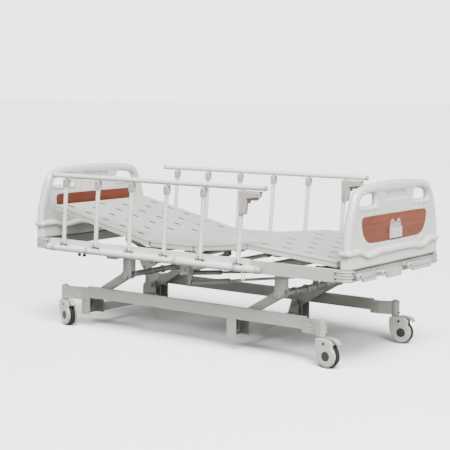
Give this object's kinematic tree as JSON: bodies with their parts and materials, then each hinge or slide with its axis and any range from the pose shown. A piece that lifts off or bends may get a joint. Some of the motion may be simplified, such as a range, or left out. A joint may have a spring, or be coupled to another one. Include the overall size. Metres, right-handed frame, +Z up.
{
  "type": "adjustable hospital bed",
  "caption": "Manual adjustable hospital bed: sectioned sheet metal deck, crank screws, parallel lift arms, folding side guards, end boards and braked swivel castors.",
  "frame": {"origin": "on the floor under the middle of the bounding box", "axes": "+X to the foot end with the cranks, +Y to the far side, +Z up"},
  "size_m": [2.2035, 1.027, 0.928],
  "materials": {
    "grey_coat": "satin powder coat",
    "board_white": "fine matt moulded",
    "castor_grey": "satin moulded",
    "tyre_black": "matt",
    "steel": "drawn tube",
    "aluminium": "satin anodised",
    "trigger_red": "gloss"
  },
  "bodies": {
    "base": {"base_frame": "grey_coat"},
    "lift_arm_foot": {"lift_arm_foot": "grey_coat"},
    "lift_arm_head": {"lift_arm_head": "grey_coat"},
    "hi_lo_link": {"hi_lo_link": "grey_coat"},
    "upper_frame": {"near_side_rail": "grey_coat", "far_side_rail": "grey_coat", "head_beam": "grey_coat", "foot_beam": "grey_coat", "head_hanger": "grey_coat", "foot_hanger": "grey_coat", "head_board": "board_white", "foot_board": "board_white", "seat_section": "grey_coat", "near_guard_lower_rail": "aluminium", "far_guard_lower_rail": "aluminium"},
    "back_section": {"back_section": "grey_coat"},
    "thigh_section": {"thigh_section": "grey_coat"},
    "leg_section": {"leg_section": "grey_coat"},
    "back_lift": {"back_lift": "grey_coat"},
    "knee_lift": {"knee_lift": "grey_coat"},
    "back_push_tube": {"back_push_tube": "steel"},
    "back_screw": {"back_screw": "steel"},
    "back_crank": {"back_crank": "aluminium"},
    "back_crank_grip": {"back_crank_grip": "castor_grey"},
    "knee_push_tube": {"knee_push_tube": "steel"},
    "knee_screw": {"knee_screw": "steel"},
    "knee_crank": {"knee_crank": "aluminium"},
    "knee_crank_grip": {"knee_crank_grip": "castor_grey"},
    "height_push_tube": {"height_push_tube": "steel"},
    "height_screw": {"height_screw": "steel"},
    "height_crank": {"height_crank": "aluminium"},
    "height_crank_grip": {"height_crank_grip": "castor_grey"},
    "castor_near_head": {"castor_shell_near_head": "castor_grey"},
    "wheel_near_head": {"castor_wheel_near_head": "tyre_black"},
    "pedal_near_head": {"brake_pedal_near_head": "castor_grey"},
    "castor_far_head": {"castor_shell_far_head": "castor_grey"},
    "wheel_far_head": {"castor_wheel_far_head": "tyre_black"},
    "pedal_far_head": {"brake_pedal_far_head": "castor_grey"},
    "castor_near_foot": {"castor_shell_near_foot": "castor_grey"},
    "wheel_near_foot": {"castor_wheel_near_foot": "tyre_black"},
    "pedal_near_foot": {"brake_pedal_near_foot": "castor_grey"},
    "castor_far_foot": {"castor_shell_far_foot": "castor_grey"},
    "wheel_far_foot": {"castor_wheel_far_foot": "tyre_black"},
    "pedal_far_foot": {"brake_pedal_far_foot": "castor_grey"},
    "near_guard_post_1": {"near_guard_post_1": "aluminium"},
    "near_guard_post_2": {"near_guard_post_2": "aluminium"},
    "near_guard_post_3": {"near_guard_post_3": "aluminium"},
    "near_guard_post_4": {"near_guard_post_4": "aluminium"},
    "near_guard_post_5": {"near_guard_post_5": "aluminium"},
    "near_guard_post_6": {"near_guard_post_6": "aluminium"},
    "near_guard_top_rail": {"near_guard_top_rail": "aluminium"},
    "near_guard_trigger": {"near_guard_trigger": "trigger_red"},
    "far_guard_post_1": {"far_guard_post_1": "aluminium"},
    "far_guard_post_2": {"far_guard_post_2": "aluminium"},
    "far_guard_post_3": {"far_guard_post_3": "aluminium"},
    "far_guard_post_4": {"far_guard_post_4": "aluminium"},
    "far_guard_post_5": {"far_guard_post_5": "aluminium"},
    "far_guard_post_6": {"far_guard_post_6": "aluminium"},
    "far_guard_top_rail": {"far_guard_top_rail": "aluminium"},
    "far_guard_trigger": {"far_guard_trigger": "trigger_red"}
  },
  "joints": [
    {"name": "bed_height", "type": "hinge", "parent": "base", "child": "lift_arm_foot", "pos_m": [0.25925, 0, 0.168], "axis": [0, -1, 0], "range_deg": [-25, 30]},
    {"name": "head_arm_turn", "type": "hinge", "parent": "base", "child": "lift_arm_head", "pos_m": [-0.80075, 0, 0.168], "axis": [0, -1, 0], "range_deg": [-25, 30]},
    {"name": "frame_level", "type": "hinge", "parent": "lift_arm_foot", "child": "upper_frame", "pos_m": [0.52125, 0, 0.32], "axis": [0, -1, 0], "range_deg": [-30, 25]},
    {"name": "link_level", "type": "hinge", "parent": "lift_arm_foot", "child": "hi_lo_link", "pos_m": [0.52125, 0.1495, 0.372], "axis": [0, -1, 0], "range_deg": [-30, 25]},
    {"name": "backrest", "type": "hinge", "parent": "upper_frame", "child": "back_section", "pos_m": [-0.26975, 0, 0.544], "axis": [0, 1, 0], "range_deg": [-12.2, 47.8]},
    {"name": "thigh_rest", "type": "hinge", "parent": "upper_frame", "child": "thigh_section", "pos_m": [0.03425, 0, 0.544], "axis": [0, -1, 0], "range_deg": [-6.43, 31.57]},
    {"name": "leg_rest", "type": "hinge", "parent": "thigh_section", "child": "leg_section", "pos_m": [0.38948, 0, 0.5619], "axis": [0, -1, 0], "range_deg": [-50.6, 10.4]},
    {"name": "back_lift_turn", "type": "hinge", "parent": "upper_frame", "child": "back_lift", "pos_m": [-0.22075, 0, 0.44], "axis": [0, 1, 0], "range_deg": [-8.4, 32.6]},
    {"name": "knee_lift_turn", "type": "hinge", "parent": "upper_frame", "child": "knee_lift", "pos_m": [0.01425, 0, 0.42], "axis": [0, -1, 0], "range_deg": [-4.7, 22.8]},
    {"name": "back_screw_travel", "type": "slide", "parent": "upper_frame", "child": "back_push_tube", "axis": [0.9936, -0.0225, 0.1106], "range_m": [-0.05134, 0.01348]},
    {"name": "back_crank_turn", "type": "hinge", "parent": "upper_frame", "child": "back_crank", "pos_m": [1.08825, -0.213, 0.482], "axis": [1, 0, 0], "continuous": true},
    {"name": "back_screw_turn", "type": "hinge", "parent": "upper_frame", "child": "back_screw", "pos_m": [0.96625, -0.213, 0.482], "axis": [0.9936, -0.0225, 0.1106], "continuous": true},
    {"name": "back_grip_fold", "type": "hinge", "parent": "back_crank", "child": "back_crank_grip", "pos_m": [1.09325, -0.047, 0.4585], "axis": [0, 0, 1], "range_deg": [0, 90]},
    {"name": "knee_screw_travel", "type": "slide", "parent": "upper_frame", "child": "knee_push_tube", "axis": [0.9891, -0.0292, 0.1446], "range_m": [-0.007, 0.03243]},
    {"name": "knee_crank_turn", "type": "hinge", "parent": "upper_frame", "child": "knee_crank", "pos_m": [1.06425, -0.41, 0.482], "axis": [1, 0, 0], "continuous": true},
    {"name": "knee_screw_turn", "type": "hinge", "parent": "upper_frame", "child": "knee_screw", "pos_m": [0.96625, -0.41, 0.482], "axis": [0.9891, -0.0292, 0.1446], "continuous": true},
    {"name": "knee_grip_fold", "type": "hinge", "parent": "knee_crank", "child": "knee_crank_grip", "pos_m": [1.06925, -0.259, 0.4585], "axis": [0, 0, 1], "range_deg": [0, 90]},
    {"name": "height_screw_travel", "type": "slide", "parent": "upper_frame", "child": "height_push_tube", "axis": [0.9867, 0.0627, 0.1502], "range_m": [-0.0497, 0.0415]},
    {"name": "height_crank_turn", "type": "hinge", "parent": "upper_frame", "child": "height_crank", "pos_m": [1.06425, 0.1, 0.482], "axis": [1, 0, 0], "continuous": true},
    {"name": "height_screw_turn", "type": "hinge", "parent": "upper_frame", "child": "height_screw", "pos_m": [0.96625, 0.1, 0.482], "axis": [0.9867, 0.0627, 0.1502], "continuous": true},
    {"name": "height_grip_fold", "type": "hinge", "parent": "height_crank", "child": "height_crank_grip", "pos_m": [1.06925, 0.323, 0.4585], "axis": [0, 0, 1], "range_deg": [0, 90]},
    {"name": "castor_swivel_near_head", "type": "hinge", "parent": "base", "child": "castor_near_head", "pos_m": [-0.94575, -0.376, 0.155], "axis": [0, 0, 1], "continuous": true},
    {"name": "wheel_roll_near_head", "type": "hinge", "parent": "castor_near_head", "child": "wheel_near_head", "pos_m": [-0.90628, -0.39037, 0.0625], "axis": [0.342, 0.9397, 0], "continuous": true},
    {"name": "brake_press_near_head", "type": "hinge", "parent": "castor_near_head", "child": "pedal_near_head", "pos_m": [-0.91004, -0.389, 0.149], "axis": [0.342, 0.9397, 0], "range_deg": [0, 10]},
    {"name": "castor_swivel_far_head", "type": "hinge", "parent": "base", "child": "castor_far_head", "pos_m": [-0.94575, 0.376, 0.155], "axis": [0, 0, 1], "continuous": true},
    {"name": "wheel_roll_far_head", "type": "hinge", "parent": "castor_far_head", "child": "wheel_far_head", "pos_m": [-0.90416, 0.38184, 0.0625], "axis": [-0.1392, 0.9903, 0], "continuous": true},
    {"name": "brake_press_far_head", "type": "hinge", "parent": "castor_far_head", "child": "pedal_far_head", "pos_m": [-0.90812, 0.38129, 0.149], "axis": [-0.1392, 0.9903, 0], "range_deg": [0, 10]},
    {"name": "castor_swivel_near_foot", "type": "hinge", "parent": "base", "child": "castor_near_foot", "pos_m": [0.84225, -0.376, 0.155], "axis": [0, 0, 1], "continuous": true},
    {"name": "wheel_roll_near_foot", "type": "hinge", "parent": "castor_near_foot", "child": "wheel_near_foot", "pos_m": [0.88402, -0.38039, 0.0625], "axis": [0.1045, 0.9945, 0], "continuous": true},
    {"name": "brake_press_near_foot", "type": "hinge", "parent": "castor_near_foot", "child": "pedal_near_foot", "pos_m": [0.88004, -0.37997, 0.149], "axis": [0.1045, 0.9945, 0], "range_deg": [0, 10]},
    {"name": "castor_swivel_far_foot", "type": "hinge", "parent": "base", "child": "castor_far_foot", "pos_m": [0.84225, 0.376, 0.155], "axis": [0, 0, 1], "continuous": true},
    {"name": "wheel_roll_far_foot", "type": "hinge", "parent": "castor_far_foot", "child": "wheel_far_foot", "pos_m": [0.88361, 0.38329, 0.0625], "axis": [-0.1736, 0.9848, 0], "continuous": true},
    {"name": "brake_press_far_foot", "type": "hinge", "parent": "castor_far_foot", "child": "pedal_far_foot", "pos_m": [0.87967, 0.3826, 0.149], "axis": [-0.1736, 0.9848, 0], "range_deg": [0, 10]},
    {"name": "near_guard_fold", "type": "hinge", "parent": "upper_frame", "child": "near_guard_post_1", "pos_m": [-0.83275, -0.5, 0.508], "axis": [0, 1, 0], "range_deg": [0, 76]},
    {"name": "near_guard_post_2_fold", "type": "hinge", "parent": "upper_frame", "child": "near_guard_post_2", "pos_m": [-0.58495, -0.5, 0.508], "axis": [0, 1, 0], "range_deg": [0, 76]},
    {"name": "near_guard_post_3_fold", "type": "hinge", "parent": "upper_frame", "child": "near_guard_post_3", "pos_m": [-0.33715, -0.5, 0.508], "axis": [0, 1, 0], "range_deg": [0, 76]},
    {"name": "near_guard_post_4_fold", "type": "hinge", "parent": "upper_frame", "child": "near_guard_post_4", "pos_m": [-0.08935, -0.5, 0.508], "axis": [0, 1, 0], "range_deg": [0, 76]},
    {"name": "near_guard_post_5_fold", "type": "hinge", "parent": "upper_frame", "child": "near_guard_post_5", "pos_m": [0.15845, -0.5, 0.508], "axis": [0, 1, 0], "range_deg": [0, 76]},
    {"name": "near_guard_post_6_fold", "type": "hinge", "parent": "upper_frame", "child": "near_guard_post_6", "pos_m": [0.40625, -0.5, 0.508], "axis": [0, 1, 0], "range_deg": [0, 76]},
    {"name": "near_guard_rail_level", "type": "hinge", "parent": "near_guard_post_1", "child": "near_guard_top_rail", "pos_m": [-0.80775, -0.5, 0.862], "axis": [0, 1, 0], "range_deg": [-76, 0]},
    {"name": "near_guard_trigger_squeeze", "type": "hinge", "parent": "near_guard_post_6", "child": "near_guard_trigger", "pos_m": [0.53525, -0.5, 0.848], "axis": [0, 1, 0], "range_deg": [0, 12], "stiffness_Nm_per_rad": 1.5, "springref_deg": -8.59},
    {"name": "far_guard_fold", "type": "hinge", "parent": "upper_frame", "child": "far_guard_post_1", "pos_m": [-0.83275, 0.5, 0.508], "axis": [0, 1, 0], "range_deg": [0, 76]},
    {"name": "far_guard_post_2_fold", "type": "hinge", "parent": "upper_frame", "child": "far_guard_post_2", "pos_m": [-0.58495, 0.5, 0.508], "axis": [0, 1, 0], "range_deg": [0, 76]},
    {"name": "far_guard_post_3_fold", "type": "hinge", "parent": "upper_frame", "child": "far_guard_post_3", "pos_m": [-0.33715, 0.5, 0.508], "axis": [0, 1, 0], "range_deg": [0, 76]},
    {"name": "far_guard_post_4_fold", "type": "hinge", "parent": "upper_frame", "child": "far_guard_post_4", "pos_m": [-0.08935, 0.5, 0.508], "axis": [0, 1, 0], "range_deg": [0, 76]},
    {"name": "far_guard_post_5_fold", "type": "hinge", "parent": "upper_frame", "child": "far_guard_post_5", "pos_m": [0.15845, 0.5, 0.508], "axis": [0, 1, 0], "range_deg": [0, 76]},
    {"name": "far_guard_post_6_fold", "type": "hinge", "parent": "upper_frame", "child": "far_guard_post_6", "pos_m": [0.40625, 0.5, 0.508], "axis": [0, 1, 0], "range_deg": [0, 76]},
    {"name": "far_guard_rail_level", "type": "hinge", "parent": "far_guard_post_1", "child": "far_guard_top_rail", "pos_m": [-0.80775, 0.5, 0.862], "axis": [0, 1, 0], "range_deg": [-76, 0]},
    {"name": "far_guard_trigger_squeeze", "type": "hinge", "parent": "far_guard_post_6", "child": "far_guard_trigger", "pos_m": [0.53525, 0.5, 0.848], "axis": [0, 1, 0], "range_deg": [0, 12], "stiffness_Nm_per_rad": 1.5, "springref_deg": -8.59}
  ],
  "couplings": [
    {"joint": "head_arm_turn", "follows": "bed_height", "ratio": 1},
    {"joint": "frame_level", "follows": "bed_height", "ratio": -1},
    {"joint": "link_level", "follows": "bed_height", "ratio": -1},
    {"joint": "leg_rest", "follows": "thigh_rest", "ratio": -1.6},
    {"joint": "back_lift_turn", "follows": "backrest", "ratio": 0.68},
    {"joint": "knee_lift_turn", "follows": "thigh_rest", "ratio": 0.72},
    {"joint": "back_screw_travel", "follows": "backrest", "m_per_rad": -0.060942},
    {"joint": "back_screw_turn", "follows": "back_crank_turn", "ratio": 1},
    {"joint": "knee_screw_travel", "follows": "thigh_rest", "m_per_rad": 0.057942},
    {"joint": "knee_screw_turn", "follows": "knee_crank_turn", "ratio": 1},
    {"joint": "height_screw_travel", "follows": "bed_height", "m_per_rad": -0.093959},
    {"joint": "height_screw_turn", "follows": "height_crank_turn", "ratio": 1},
    {"joint": "near_guard_post_2_fold", "follows": "near_guard_fold", "ratio": 1},
    {"joint": "near_guard_post_3_fold", "follows": "near_guard_fold", "ratio": 1},
    {"joint": "near_guard_post_4_fold", "follows": "near_guard_fold", "ratio": 1},
    {"joint": "near_guard_post_5_fold", "follows": "near_guard_fold", "ratio": 1},
    {"joint": "near_guard_post_6_fold", "follows": "near_guard_fold", "ratio": 1},
    {"joint": "near_guard_rail_level", "follows": "near_guard_fold", "ratio": -1},
    {"joint": "far_guard_post_2_fold", "follows": "far_guard_fold", "ratio": 1},
    {"joint": "far_guard_post_3_fold", "follows": "far_guard_fold", "ratio": 1},
    {"joint": "far_guard_post_4_fold", "follows": "far_guard_fold", "ratio": 1},
    {"joint": "far_guard_post_5_fold", "follows": "far_guard_fold", "ratio": 1},
    {"joint": "far_guard_post_6_fold", "follows": "far_guard_fold", "ratio": 1},
    {"joint": "far_guard_rail_level", "follows": "far_guard_fold", "ratio": -1}
  ]
}
